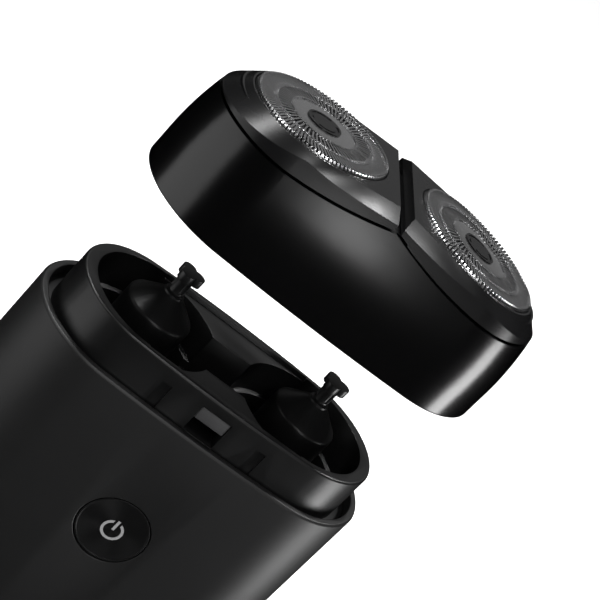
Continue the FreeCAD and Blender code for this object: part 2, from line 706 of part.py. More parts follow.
def seam_outline(sketch, raised, ceiling):
    """The region above the arched seam between shell and panels, over the whole width."""
    reach = value("half_width") + 2
    end_x = value("seam_end_x")
    low = value("seam_end") + value(raised)
    high = value("seam_middle") + value(raised)
    roof = value(ceiling)
    radius = value(SEAM_RADIUS)
    swing = math.asin(end_x / radius)
    up = FreeCAD.Vector(0, 0, 1)
    right = Part.Circle(FreeCAD.Vector(end_x, low + radius, 0), up, radius)
    left = Part.Circle(FreeCAD.Vector(-end_x, low + radius, 0), up, radius)
    down = 1.5 * math.pi
    spots = [FreeCAD.Vector(x, y, 0) for x, y in (
        (end_x, low), (reach, low), (reach, roof), (-reach, roof), (-reach, low), (-end_x, low))]
    edges = [sketch.addGeometry(Part.ArcOfCircle(right, down - swing, down))]
    for start, end in zip(spots, spots[1:]):
        edges.append(sketch.addGeometry(Part.LineSegment(start, end)))
    edges.append(sketch.addGeometry(Part.ArcOfCircle(left, down, down + swing)))
    for edge, after in zip(edges, edges[1:] + edges[:1]):
        rule(sketch, "Coincident", edge, 2, after, 1)
    pin_point(sketch, edges[0], 1, "0", "seam_middle+" + raised)
    pin_point(sketch, edges[1], 1, "seam_end_x", "seam_end+" + raised)
    pin_point(sketch, edges[2], 1, "half_width+2", "seam_end+" + raised)
    pin_point(sketch, edges[3], 1, "half_width+2", ceiling)
    pin_point(sketch, edges[4], 1, "-half_width-2", ceiling)
    pin_point(sketch, edges[5], 1, "-half_width-2", "seam_end+" + raised)
    pin_point(sketch, edges[6], 1, "-seam_end_x", "seam_end+" + raised)
    rule(sketch, "Radius", edges[0], size=SEAM_RADIUS)
    rule(sketch, "Radius", edges[6], size=SEAM_RADIUS)


def hull(body, inset, low, high, kind="AdditiveLoft"):
    """The head's oval between two heights, closing in along an arc above barrel_start."""
    sketches = []
    for step in range(HULL_STEPS + 1):
        height = "(%s)+((%s)-(%s))*%d/%d" % (low, high, low, step, HULL_STEPS)
        sketch = new_sketch(body, "XY", height)
        sleeve_oval("%s+max(0; %s-barrel_start)^2/(2*barrel_radius)" % (inset, height))(sketch)
        sketches.append(sketch)
    loft = body.newObject("PartDesign::" + kind, "barrel")
    loft.Profile = sketches[0]
    loft.Sections = sketches[1:]
    return loft


def make_head_shell():
    shell = plate("head_shell", "0", "barrel_start", sleeve_oval())
    hull(shell, "0", "barrel_start", "hull_top")
    cut_through(shell, "0", FRAME_TOP, sleeve_oval("head_wall"))
    hull(shell, "upper_wall", FRAME_TOP, "hull_top", "SubtractiveLoft")
    cut_through(shell, "-half_depth-1", "half_depth+1",
                lambda sketch: seam_outline(sketch, "0", "hull_top+3"), "XZ")
    round_edges(shell, "Fillet", "0.3", at_height("0", "half_width-0.5"))
    keep("head_shell", place(shell, z=HEAD_Z))


def make_head_frame():
    frame = plate("head_frame", "frame_base", FRAME_TOP, sleeve_oval("head_wall+0.15"))

    def pair(sketch):
        circle(sketch, "frame_hole", "-spindle_x")
        circle(sketch, "frame_hole", "spindle_x")
    cut_through(frame, "frame_base", FRAME_TOP, pair)
    add_block(frame, FRAME_TOP, "divider_top",
              lambda sketch: box_outline(sketch, "-1.5", "-11.6", "1.5", "11.6"))
    for x in ("-spindle_x", "spindle_x"):
        for low, far in (("-11.5", "-11"), ("11", "11.5")):
            add_block(frame, FRAME_TOP, "pin_z+1.4",
                      lambda sketch: box_outline(sketch, x + "-1.3", low, x + "+1.3", far))
        cut_through(frame, "-half_depth", "half_depth",
                    lambda sketch: circle(sketch, "pin_radius", x, "pin_z"), "XZ")
    keep("head_frame", place(frame, z=HEAD_Z))
    for side, sign in (("left", "-"), ("right", "")):
        pins = []
        for low, high in (("-12.2", "-11"), ("11", "12.2")):
            pins.append(plate("pin", low, high, lambda sketch: circle(
                sketch, "pin_radius", sign + "spindle_x", "pin_z"), "XZ"))
        keep(side + "_panel_pins", place(group(pins), z=HEAD_Z))
        springs = []
        for y in ("-10.1", "10.1"):
            spring = coil("0.9", "0.15", "1.2", "spring_seat-(%s)-0.2" % FRAME_TOP)
            springs.append(place(spring, x=sign + "3.7", y=y, z=FRAME_TOP + "+0.2"))
        keep(side + "_panel_springs", place(group(springs), z=HEAD_Z))


# ---------------------------------------------------------------- head: tilting panels

def rounded_end(sketch, split_half_depth, centre, radius):
    """A D outline: a straight edge on the Y axis, two sides tangent to a round outer end."""
    depth, middle, end = value(split_half_depth), value(centre), value(radius)
    away = math.hypot(middle, depth)
    touch = math.atan2(depth, -middle) - math.acos(end / away)
    spot = FreeCAD.Vector(middle + end * math.cos(touch), end * math.sin(touch), 0)
    mirror_spot = FreeCAD.Vector(spot.x, -spot.y, 0)
    top = FreeCAD.Vector(0, depth, 0)
    bottom = FreeCAD.Vector(0, -depth, 0)
    round_edge = Part.Circle(FreeCAD.Vector(middle, 0, 0), FreeCAD.Vector(0, 0, 1), end)
    edges = [
        sketch.addGeometry(Part.LineSegment(top, bottom)),
        sketch.addGeometry(Part.LineSegment(bottom, mirror_spot)),
        sketch.addGeometry(Part.ArcOfCircle(round_edge, -touch, touch)),
        sketch.addGeometry(Part.LineSegment(spot, top)),
    ]
    rule(sketch, "Coincident", edges[0], 2, edges[1], 1)
    rule(sketch, "Tangent", edges[1], 2, edges[2], 1)
    rule(sketch, "Tangent", edges[2], 2, edges[3], 1)
    rule(sketch, "Coincident", edges[3], 2, edges[0], 1)
    pin_point(sketch, edges[0], 1, "0", split_half_depth)
    pin_point(sketch, edges[0], 2, "0", "-(%s)" % split_half_depth)
    pin_point(sketch, edges[2], 3, centre, "0")
    rule(sketch, "Radius", edges[2], size=radius)


def tilted_sketch(body, height, tilt):
    """A sketch on a plane that leans outwards about Y, at a height on the Z axis."""
    sketch = new_sketch(body, "XY", height)
    sketch.AttachmentOffset = FreeCAD.Placement(
        FreeCAD.Vector(0, 0, value(height)), FreeCAD.Rotation(FreeCAD.Vector(0, 1, 0), value(tilt)))
    link(sketch, "AttachmentOffset.Base.z", height)
    link(sketch, "AttachmentOffset.Rotation.Angle", tilt)
    return sketch


def radial_box(angle, near, far, width, low, high):
    """A block that points outwards from the Z axis at an angle."""
    block = doc.addObject("Part::Box", "radial_block")
    link(block, "Length", "(%s)-(%s)" % (far, near))
    link(block, "Width", width)
    link(block, "Height", "(%s)-(%s)" % (high, low))
    facing = FreeCAD.Rotation(FreeCAD.Vector(0, 0, 1), angle)
    corner = facing.multVec(FreeCAD.Vector(value(near), -value(width) / 2, value(low)))
    block.Placement = FreeCAD.Placement(corner, facing)
    return block


def make_crown():
    """What the panel's roof and bevel may fill: a loft on top of a leaning slab."""
    crown = new_body("crown")
    face = tilted_sketch(crown, "roof_middle", "roof_tilt")
    rounded_end(face, "face_split_half", "foil_x", "face_end_radius")
    land = tilted_sketch(crown, "land_middle", "land_tilt")
    rounded_end(land, "half_depth-1.85", "half_width-end_radius", "end_radius-1")
    loft = crown.newObject("PartDesign::AdditiveLoft", "bevel")
    loft.Profile = land
    loft.Sections = [face]
    loft.Ruled = True
    slab = plate("below_land", "-8", "0",
                 lambda sketch: box_outline(sketch, "-2", "-20", "38", "20"))
    return join("MultiFuse", crown, place(slab, z="land_middle", tilt="land_tilt"))


def make_skirt():
    """The ring that reaches down inside the shell, on the outer side of the split."""
    low = "pin_z-1.4"
    high = "seam_middle-0.6"
    skirt = new_body("skirt")
    hull(skirt, "upper_wall+skirt_gap", low, high)
    cut_through(skirt, low, high, sleeve_oval("skirt_inset"))
    cut_through(skirt, "-half_depth", "half_depth",
                lambda sketch: box_outline(sketch, "-half_width", "0", "2.6", "hull_top"), "XZ")
    return skirt


def make_panel():
    """The right panel: bevelled cap, skirt inside the shell, hooks under the retainer."""
    cap = new_body("cap")
    hull(cap, "0", "12", "hull_top")
    above = plate("above", "-half_depth-1", "half_depth+1",
                  lambda sketch: seam_outline(sketch, "seam_gap", "hull_top+3"), "XZ")
    cap = join("MultiCommon", cap, make_crown(), above)
    hooks = []
    for angle in (45, 135, 225, 315):
        hooks.append(radial_box(angle, "11.85", "12.6", "hook_width", "hook_low", "hook_top"))
        hooks.append(radial_box(angle, "10.1", "12.2", "hook_width", "hook_low", "hook_shelf"))
    hooks = place(join("MultiFuse", *hooks), x="foil_x", z=FACE_Z, tilt="roof_tilt")
    solid = join("MultiFuse", cap, make_skirt(), hooks)
    for radius, low, high in (("foil_radius+0.13", "-2", "1"),
                              ("cavity_radius", "-cavity_depth", "-1.3")):
        hole = bore_tool(radius, low, high)
        hole = place(hole, x="foil_x+(%s)*sin(roof_tilt)" % low,
                     z=FACE_Z + "+(%s)*cos(roof_tilt)" % low, tilt="roof_tilt")
        solid = join("Cut", solid, hole)
    pin_hole = bore_tool("pin_radius+run_gap", "0", "30")
    pin_hole.Placement.Rotation = FreeCAD.Rotation(FreeCAD.Vector(1, 0, 0), 90)
    solid = join("Cut", solid, place(pin_hole, x="spindle_x", y="15", z="pin_z"))
    mouth = plate("mouth", "-half_depth-1", "half_depth+1", lambda sketch: outline(sketch, [
        ("-3", "10"), ("split_half", "10"), ("split_half", "roof_middle-1.3"),
        ("split_mouth", "roof_middle-0.1"), ("split_mouth", "hull_top+3"),
        ("-3", "hull_top+3")]), "XZ")
    solid = join("Cut", solid, mouth)
    keep("right_head_panel", place(solid, z=HEAD_Z))
    mirrored = doc.addObject("Part::Mirroring", "mirrored")
    mirrored.Source = solid
    mirrored.Normal = FreeCAD.Vector(1, 0, 0)
    keep("left_head_panel", mirrored)


# ---------------------------------------------------------------- head: foils and cutters

def seat(name, side, thing):
    """Put a piece made about the foil's own axis on the left or right panel."""
    sign = "-" if side == "left" else ""
    placed = place(thing, x=sign + "foil_x", z=HEAD_Z + "+" + FACE_Z, tilt=sign + "roof_tilt")
    keep(side + "_" + name, placed)


def lifted(thing, height):
    """Wrap a placed piece, so that the wrapper takes the next placement."""
    place(thing, z=height)
    return group([thing])


def make_foil(side):
    inner = "foil_radius-foil_wall"
    foil = turned("foil", [
        ("cap_hole", "foil_inside"), (inner, "foil_inside"), (inner, "foil_foot_low"),
        ("11.6", "foil_foot_low"), ("11.6", "foil_foot"), ("foil_radius", "foil_foot"),
        ("foil_radius", "foil_edge"), ("foil_radius-0.2", "foil_ridge"), ("8.6", "foil_ridge"),
        ("8.3", "foil_groove"), ("7.9", "foil_groove"), ("7.6", "foil_ridge"),
        ("5.5", "foil_ridge"), ("5.2", "foil_middle"), ("cap_hole", "foil_middle")])
    seat("foil", side, foil)
    cap = turned("foil_cap", [
        ("0", "foil_inside"), ("cap_hole", "foil_inside"), ("cap_hole", "foil_middle"),
        ("cap_radius", "foil_middle"), ("cap_radius", "cap_face-0.08"),
        ("cap_radius-0.15", "cap_face"), ("0", "cap_face")])
    seat("foil_cap", side, cap)
    seat("foil_spring", side, lifted(coil("10.6", "0.2", "1.1", "2.1"), "spring_low"))


def make_cutter(side):
    cutter = plate("cutter", "cutter_low", "cutter_high",
                   lambda sketch: circle(sketch, "cutter_radius"))
    cut_through(cutter, "cutter_low", "cutter_high", lambda sketch: circle(sketch, "cutter_hole"))
    blade_sketch = new_sketch(cutter, "XY", "cutter_high-0.1")
    box_outline(blade_sketch, "blade_near", "-blade_half", "blade_far", "blade_half")
    blade = pad(cutter, blade_sketch, "blade_rise")
    copies = cutter.newObject("PartDesign::PolarPattern", "blades")
    copies.Originals = [blade]
    axis = [item for item in cutter.Origin.OriginFeatures if item.Role == "Z_Axis"][0]
    copies.Axis = (axis, [""])
    copies.Angle = 360
    copies.Occurrences = BLADES
    cutter.Tip = copies
    seat("cutter", side, cutter)
    hub = turned("cutter_carrier", [
        ("0", "socket_roof"), ("socket_radius", "socket_roof"), ("socket_radius", "carrier_low"),
        ("carrier_radius", "carrier_low"), ("carrier_radius", "cutter_low"),
        ("cutter_hole", "cutter_low"), ("cutter_hole", "cutter_high"), ("0", "cutter_high")])
    ribs = [radial_box(angle, "1.8", "socket_radius+0.15", "0.9", "carrier_low+0.2",
                       "socket_roof+0.2") for angle in (60, 180, 300)]
    seat("cutter_carrier", side, join("MultiFuse", hub, *ribs))


def make_retainer(side):
    low = "retainer_low"
    ring = plate("retainer", low, "retainer_high", lambda sketch: circle(sketch, "retainer_radius"))
    cut_through(ring, low, "retainer_high", lambda sketch: circle(sketch, "retainer_hole"))
    guide = plate("guide", low, "guide_high", lambda sketch: circle(sketch, "guide_radius"))
    cut_through(guide, low, "guide_high", lambda sketch: circle(sketch, "guide_hole"))
    arms = [radial_box(angle, "guide_radius-0.2", "retainer_hole+0.3", "1.6", low, low + "+0.6")
            for angle in (0, 120, 240)]
    grips = [radial_box(angle, "retainer_hole+0.2", "retainer_radius-0.95", "3", low + "-1",
                        low + "+0.2") for angle in (90, 270)]
    seat("cutter_retainer", side, join("MultiFuse", ring, guide, *arms, *grips))


# ---------------------------------------------------------------- the whole shaver

def check_all():
    """Stop on any failed object, or any sub-part with no valid shape."""
    for thing in doc.Objects:
        if "Invalid" in thing.State or "Error" in thing.State:
            raise RuntimeError("failed object: %s %s" % (thing.Name, thing.State))
    for name, thing in nodes.items():
        if thing.Shape.isNull() or not thing.Shape.isValid() or not thing.Shape.Solids:
            raise RuntimeError("no valid solid in " + name)


def main():
    make_sleeve()
    make_base_cap()
    make_inlet()
    make_battery()
    make_chassis()
    make_board()
    make_button()
    make_motor()
    make_gears()
    make_gear_plate()
    make_deck()
    make_chamber_floor()
    make_deck_seal()
    make_catch()
    make_spindles()
    make_head_shell()
    make_head_frame()
    make_panel()
    for side in ("left", "right"):
        make_foil(side)
        make_cutter(side)
        make_retainer(side)
    doc.recompute()
    check_all()
    os.makedirs("parts", exist_ok=True)
    for name, thing in nodes.items():
        thing.Shape.exportStep("parts/" + name + ".step")
        print(name, len(thing.Shape.Solids), round(thing.Shape.Volume, 2))


main()
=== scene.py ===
import bpy
import bmesh
import json
import math
from mathutils import Matrix, Vector


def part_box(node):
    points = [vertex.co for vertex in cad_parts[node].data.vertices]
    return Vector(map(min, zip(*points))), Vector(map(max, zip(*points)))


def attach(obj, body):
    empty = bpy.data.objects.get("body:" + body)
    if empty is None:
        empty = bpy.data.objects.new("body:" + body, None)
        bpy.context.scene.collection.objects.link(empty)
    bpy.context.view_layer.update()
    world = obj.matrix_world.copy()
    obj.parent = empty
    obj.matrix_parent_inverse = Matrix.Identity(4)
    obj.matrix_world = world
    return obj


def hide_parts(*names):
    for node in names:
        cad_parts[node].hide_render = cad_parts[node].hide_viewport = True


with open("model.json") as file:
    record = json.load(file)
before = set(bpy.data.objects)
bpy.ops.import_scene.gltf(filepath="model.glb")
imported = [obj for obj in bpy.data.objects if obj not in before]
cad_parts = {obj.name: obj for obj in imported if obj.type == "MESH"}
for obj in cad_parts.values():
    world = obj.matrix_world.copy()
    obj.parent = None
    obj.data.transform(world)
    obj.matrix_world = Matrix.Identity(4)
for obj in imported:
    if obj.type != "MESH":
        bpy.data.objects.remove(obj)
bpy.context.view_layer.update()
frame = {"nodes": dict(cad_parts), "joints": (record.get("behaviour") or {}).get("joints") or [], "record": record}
nodes = frame["nodes"]
MM = 0.001


# ------------------------------------------------------------------ material helpers

def new_material(name):
    material = bpy.data.materials.new(name)
    material.use_nodes = True
    tree = material.node_tree
    shader = tree.nodes["Principled BSDF"]
    return material, tree, shader


def noise(tree, scale, detail=2.0, roughness=0.5):
    """Noise in the piece's own space, in features per metre."""
    place = tree.nodes.new("ShaderNodeTexCoord")
    grain = tree.nodes.new("ShaderNodeTexNoise")
    grain.inputs["Scale"].default_value = scale
    grain.inputs["Detail"].default_value = detail
    grain.inputs["Roughness"].default_value = roughness
    tree.links.new(place.outputs["Object"], grain.inputs["Vector"])
    return grain.outputs["Fac"]


def spread(tree, factor, low, high):
    """Turn a 0 to 1 pattern into a range of plain values."""
    ramp = tree.nodes.new("ShaderNodeMapRange")
    ramp.inputs["To Min"].default_value = low
    ramp.inputs["To Max"].default_value = high
    tree.links.new(factor, ramp.inputs["Value"])
    return ramp.outputs["Result"]


def tint(tree, factor, dark, light):
    """Blend two colours by a pattern."""
    mix = tree.nodes.new("ShaderNodeMix")
    mix.data_type = "RGBA"
    mix.inputs["A"].default_value = (*dark, 1)
    mix.inputs["B"].default_value = (*light, 1)
    tree.links.new(factor, mix.inputs["Factor"])
    return mix.outputs["Result"]


def dent(tree, shader, height, strength, distance):
    """Give the surface a fine relief."""
    bump = tree.nodes.new("ShaderNodeBump")
    bump.inputs["Strength"].default_value = strength
    bump.inputs["Distance"].default_value = distance
    tree.links.new(height, bump.inputs["Height"])
    tree.links.new(bump.outputs["Normal"], shader.inputs["Normal"])


def moulded(name, dark, light, rough, grain=2500, relief=0.15, depth=0.00001):
    """A moulded plastic: slight colour drift, uneven gloss and a fine skin."""
    material, tree, shader = new_material(name)
    drift = noise(tree, 60, 3)
    skin = noise(tree, grain, 2)
    tree.links.new(tint(tree, drift, dark, light), shader.inputs["Base Color"])
    tree.links.new(spread(tree, drift, rough[0], rough[1]), shader.inputs["Roughness"])
    dent(tree, shader, skin, relief, depth)
    return material


def metal(name, dark, light, rough, grain=1800):
    """A plated or turned metal with fine tool marks."""
    material, tree, shader = new_material(name)
    marks = noise(tree, grain, 3, 0.6)
    tree.links.new(tint(tree, marks, dark, light), shader.inputs["Base Color"])
    tree.links.new(spread(tree, marks, rough[0], rough[1]), shader.inputs["Roughness"])
    dent(tree, shader, marks, 0.1, 0.00001)
    shader.inputs["Metallic"].default_value = 1.0
    return material


# ------------------------------------------------------------------ finishes

def make_finishes():
    return {
        "soft_touch_black": moulded("soft_touch_black", (0.0045, 0.0045, 0.0047),
                                    (0.006, 0.006, 0.0062), (0.44, 0.50), 5200, 0.22, 0.00002),
        "satin_black": moulded("satin_black", (0.0022, 0.0022, 0.0024), (0.0035, 0.0035, 0.0037),
                               (0.34, 0.42), 3600, 0.16, 0.00001),
        "gloss_black": moulded("gloss_black", (0.0008, 0.0008, 0.0009), (0.0013, 0.0013, 0.0014),
                               (0.19, 0.23), 900, 0.02, 0.00001),
        "semi_gloss_black": moulded("semi_gloss_black", (0.0025, 0.0025, 0.0027),
                                    (0.004, 0.004, 0.0042), (0.24, 0.30), 2600, 0.08, 0.00001),
        "black_rubber": moulded("black_rubber", (0.012, 0.012, 0.012), (0.018, 0.018, 0.018),
                                (0.6, 0.72), 3000, 0.25, 0.00002),
        "frame_grey": moulded("frame_grey", (0.022, 0.022, 0.023), (0.03, 0.03, 0.031),
                              (0.4, 0.5), 3000, 0.15, 0.00001),
        "white_acetal": moulded("white_acetal", (0.7, 0.7, 0.67), (0.78, 0.78, 0.75),
                                (0.35, 0.45), 2000, 0.1, 0.00001),
        "board_green": moulded("board_green", (0.006, 0.055, 0.02), (0.01, 0.085, 0.035),
                               (0.3, 0.4), 1500, 0.15, 0.00001),
        "chip_black": moulded("chip_black", (0.012, 0.012, 0.012), (0.02, 0.02, 0.02),
                              (0.5, 0.6), 3500, 0.2, 0.00001),
        "cell_wrap": moulded("cell_wrap", (0.01, 0.06, 0.16), (0.015, 0.08, 0.2),
                             (0.25, 0.34), 700, 0.12, 0.00002),
        "light_lens": moulded("light_lens", (0.6, 0.6, 0.58), (0.68, 0.68, 0.66),
                              (0.4, 0.5), 2500, 0.1, 0.00001),
        "pale_icon": moulded("pale_icon", (0.15, 0.15, 0.152), (0.19, 0.19, 0.192),
                             (0.42, 0.5), 4000, 0.1, 0.000005),
        "steel": metal("steel", (0.42, 0.42, 0.43), (0.55, 0.55, 0.56), (0.24, 0.36)),
        "spring_steel": metal("spring_steel", (0.38, 0.38, 0.4), (0.5, 0.5, 0.52), (0.2, 0.3)),
        "nickel": metal("nickel", (0.5, 0.48, 0.44), (0.62, 0.6, 0.56), (0.2, 0.32)),
        "foil_steel": metal("foil_steel", (0.5, 0.5, 0.505), (0.62, 0.62, 0.625), (0.2, 0.3),
                            3200),
        "spun_black_metal": spun_black(),
    }


def spun_black():
    """Black metal spun about the button's own axis, so that its glints open as wedges."""
    material, tree, shader = new_material("spun_black_metal")
    low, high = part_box("power_button")
    middle = (low + high) / 2
    place = tree.nodes.new("ShaderNodeTexCoord")
    mapping = tree.nodes.new("ShaderNodeMapping")
    mapping.inputs["Location"].default_value = -middle
    rings = tree.nodes.new("ShaderNodeTexWave")
    rings.wave_type = "RINGS"
    rings.rings_direction = "Y"
    rings.inputs["Scale"].default_value = 2600
    rings.inputs["Distortion"].default_value = 0.4
    tree.links.new(place.outputs["Object"], mapping.inputs["Vector"])
    tree.links.new(mapping.outputs["Vector"], rings.inputs["Vector"])
    tree.links.new(tint(tree, rings.outputs["Fac"], (0.022, 0.022, 0.0225), (0.034, 0.034, 0.0345)),
                   shader.inputs["Base Color"])
    tree.links.new(spread(tree, rings.outputs["Fac"], 0.30, 0.38), shader.inputs["Roughness"])
    dent(tree, shader, rings.outputs["Fac"], 0.35, 0.000008)
    shader.inputs["Metallic"].default_value = 0.9
    shader.inputs["Anisotropic"].default_value = 0.8
    round_button = tree.nodes.new("ShaderNodeTangent")
    round_button.direction_type = "RADIAL"
    round_button.axis = "Y"
    tree.links.new(round_button.outputs["Tangent"], shader.inputs["Tangent"])
    return material


def dress_cad_nodes(finishes):
    """Give each carried-over node the finish that its record slot names."""
    for part in frame["record"]["subparts"]:
        node = nodes[part["node"]]
        node.data.materials.clear()
        node.data.materials.append(finishes[part["material_slot"]])


# ------------------------------------------------------------------ modelling helpers

# angles in degrees, the weld in millimetres
SHARP_EDGE = 30
NEARLY_FLAT = 0.3
WELD = 0.001

subparts = {part["node"]: part for part in frame["record"]["subparts"]}
body_of = {node: body for body, held in frame["record"]["behaviour"]["bodies"].items()
           for node in held}


def stand_in(piece, finishes, node):
    """The piece takes over a carried-over node: its body, its finish and its place on show."""
    slot = subparts[node]["material_slot"]
    piece.data.materials.clear()
    piece.data.materials.append(finishes[slot])
    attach(piece, body_of[node])
    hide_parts(node)


def only(thing):
    """Select one piece and nothing else."""
    bpy.ops.object.select_all(action="DESELECT")
    bpy.context.view_layer.objects.active = thing
    thing.select_set(True)


def settle(thing):
    """Put the piece's place and turn into its mesh."""
    only(thing)
    bpy.ops.object.transform_apply(location=True, rotation=True, scale=True)


def edit(thing):
    """Open one piece for editing, all of it selected."""
    only(thing)
    bpy.ops.object.mode_set(mode="EDIT")
    bpy.ops.mesh.select_all(action="SELECT")


def ring_of_copies(count):
    """Within an edit, repeat what is selected evenly round the Z axis."""
    bpy.ops.mesh.spin(steps=count - 1, dupli=True, angle=2 * math.pi * (count - 1) / count,
                      center=(0, 0, 0), axis=(0, 0, 1))


def close_edit():
    bpy.ops.object.mode_set(mode="OBJECT")


def pick(thing, kind, wanted):
    """Within an edit, select the edges or faces whose middle passes the test."""
    bpy.ops.mesh.select_mode(type=kind)
    bpy.ops.mesh.select_all(action="DESELECT")
    shape = bmesh.from_edit_mesh(thing.data)
    for element in (shape.edges if kind == "EDGE" else shape.faces):
        middle = sum((corner.co for corner in element.verts), Vector()) / len(element.verts)
        element.select_set(wanted(middle / MM))
    shape.select_flush_mode()
    bmesh.update_edit_mesh(thing.data)


def face_up(thing):
    """Turn a sheet over if its faces look down or in."""
    edit(thing)
    shape = bmesh.from_edit_mesh(thing.data)
    lean = 0
    for face in shape.faces:
        middle = face.calc_center_median()
        outward = Vector((middle.x, middle.y, 0)).normalized()
        lean += face.calc_area() * (face.normal.z + face.normal.dot(outward))
    if lean < 0:
        bpy.ops.mesh.flip_normals()
    close_edit()


def thicken(thing, wall):
    """Give a sheet its wall, inwards from the face that shows."""
    modifier = thing.modifiers.new("wall", "SOLIDIFY")
    modifier.thickness = wall * MM
    modifier.offset = -1
    bpy.context.view_layer.objects.active = thing
    bpy.ops.object.modifier_apply(modifier="wall")


def spun_sheet(name, profile, steps):
    """A sheet spun about the Z axis from a run of (radius, height) points."""
    radius, height = profile[0]
    bpy.ops.mesh.primitive_circle_add(vertices=steps, radius=radius * MM,
                                      location=(0, 0, height * MM))
    thing = bpy.context.object
    thing.name = name
    settle(thing)
    edit(thing)
    for wider, higher in profile[1:]:
        bpy.ops.mesh.extrude_edges_move(
            TRANSFORM_OT_translate={"value": (0, 0, (higher - height) * MM)})
        grow = wider / radius
        bpy.ops.transform.resize(value=(grow, grow, 1), center_override=(0, 0, 0))
        radius, height = wider, higher
    close_edit()
    face_up(thing)
    return thing


def bar_ring(name, profile, width, slant, count):
    """Evenly spaced narrow bars round the Z axis that follow a run of (radius, height) points."""
    half = width / 2
    bpy.ops.mesh.primitive_plane_add(size=width * MM)
    thing = bpy.context.object
    thing.name = name
    edit(thing)
    (near, low), (far, high) = profile[:2]
    lead = math.tan(math.radians(slant))
    # the square's inner edge goes to the first point, its outer edge to the second
    pick(thing, "EDGE", lambda middle: middle.x < -half * 0.9)
    bpy.ops.transform.translate(value=((near + half) * MM, 0, low * MM))
    pick(thing, "EDGE", lambda middle: half * 0.9 < middle.x < half * 1.1)
    bpy.ops.transform.translate(value=((far - half) * MM, (far - near) * lead * MM, high * MM))
    for wider, higher in profile[2:]:
        bpy.ops.mesh.extrude_edges_move(TRANSFORM_OT_translate={
            "value": ((wider - far) * MM, (wider - far) * lead * MM, (higher - high) * MM)})
        far, high = wider, higher
    bpy.ops.mesh.select_all(action="SELECT")
    ring_of_copies(count)
    close_edit()
    face_up(thing)
    return thing


def bead_ring(name, reach, height, long, wide, tall, count):
    """Small domed beads round the Z axis, where the sheet bends over between its slots."""
    bpy.ops.mesh.primitive_cube_add(size=1, location=(reach * MM, 0, height * MM),
                                    scale=(long * MM, wide * MM, tall * MM))
    thing = bpy.context.object
    thing.name = name
    settle(thing)
    edit(thing)
    bpy.ops.mesh.subdivide(number_cuts=1, smoothness=0.0)
    bpy.ops.mesh.vertices_smooth(factor=0.7, repeat=1)
    ring_of_copies(count)
    bpy.ops.mesh.normals_make_consistent(inside=False)
    close_edit()
    return thing


def joined(name, *things):
    """One piece made of several, named anew."""
    bpy.ops.object.select_all(action="DESELECT")
    for thing in things:
        thing.select_set(True)
    bpy.context.view_layer.objects.active = things[0]
    bpy.ops.object.join()
    whole = bpy.context.object
    whole.name = name
    return whole


def shade(thing, angle):
    """Smooth the curved faces and keep edges sharper than the angle."""
    only(thing)
    bpy.ops.object.shade_smooth_by_angle(angle=math.radians(angle))


def ease(thing, width, segments=2):
    """Round every sharp edge by a width in millimetres."""
    modifier = thing.modifiers.new("ease", "BEVEL")
    modifier.width = width * MM
    modifier.segments = segments
    modifier.limit_method = "ANGLE"
    modifier.angle_limit = math.radians(SHARP_EDGE)
    bpy.ops.object.modifier_apply(modifier="ease")


def eased(name, node, width, segments=2):
    """A copy of a carried-over node with its sharp edges eased."""
    thing = bpy.data.objects.new(name, nodes[node].data.copy())
    bpy.context.scene.collection.objects.link(thing)
    edit(thing)
    bpy.ops.mesh.remove_doubles(threshold=WELD * MM)
    bpy.ops.mesh.dissolve_limited(angle_limit=math.radians(NEARLY_FLAT))
    close_edit()
    ease(thing, width, segments)
    shade(thing, 40)
    return thing


# ------------------------------------------------------------------ foils

# sizes in millimetres, from each foil's seat on its panel; profiles are (radius, height) points
FOIL_TILT = 5
SHEET = 0.13
SLANT = 17
MIDDLE = [(2.6, 0.38), (4.95, 0.38), (5.12, 0.4)]
GROOVE = [(7.7, 0.38), (7.9, 0.33), (8.2, 0.33), (8.4, 0.38)]
FOOT = [(11.0, 0.1), (11.1, -0.1), (11.1, -1.4), (11.5, -1.5)]
INNER_BAND = [(5.0, 0.36), (5.3, 0.44), (5.6, 0.47), (7.48, 0.47), (7.68, 0.44), (7.85, 0.35)]
OUTER_BAND = [(8.3, 0.35), (8.5, 0.44), (8.72, 0.47), (10.5, 0.47), (10.85, 0.38), (11.06, 0.05)]
INNER_BARS, INNER_BAR_WIDTH = 66, 0.27
OUTER_BARS, OUTER_BAR_WIDTH = 108, 0.32

# rows of beads: radius, height, width along the row, how many
BEADS = [(5.35, 0.43, 0.40, 60), (8.05, 0.41, 0.42, 84), (10.66, 0.42, 0.42, 108)]
BEAD_LENGTH, BEAD_HEIGHT = 0.42, 0.34

CAP_RADIUS, CAP_TOP, CAP_THICK = 2.75, 0.58, 0.3
CAP_RIM, CAP_GROOVE, CAP_GROOVE_DEPTH = 0.35, 0.45, 0.13
GAP_BEARING, GAP_HALF = 45, 17


def seated(thing, side):
    """Move a piece made about the Z axis to its foil's seat, where its cutter turns."""
    spin = [joint for joint in frame["joints"] if joint["child"] == side + "_cutter"][0]
    lean = math.copysign(math.radians(FOIL_TILT), spin["pos_m"][0])
    thing.matrix_world = Matrix.Translation(spin["pos_m"]) @ Matrix.Rotation(lean, 4, "Y")
    settle(thing)
    return thing


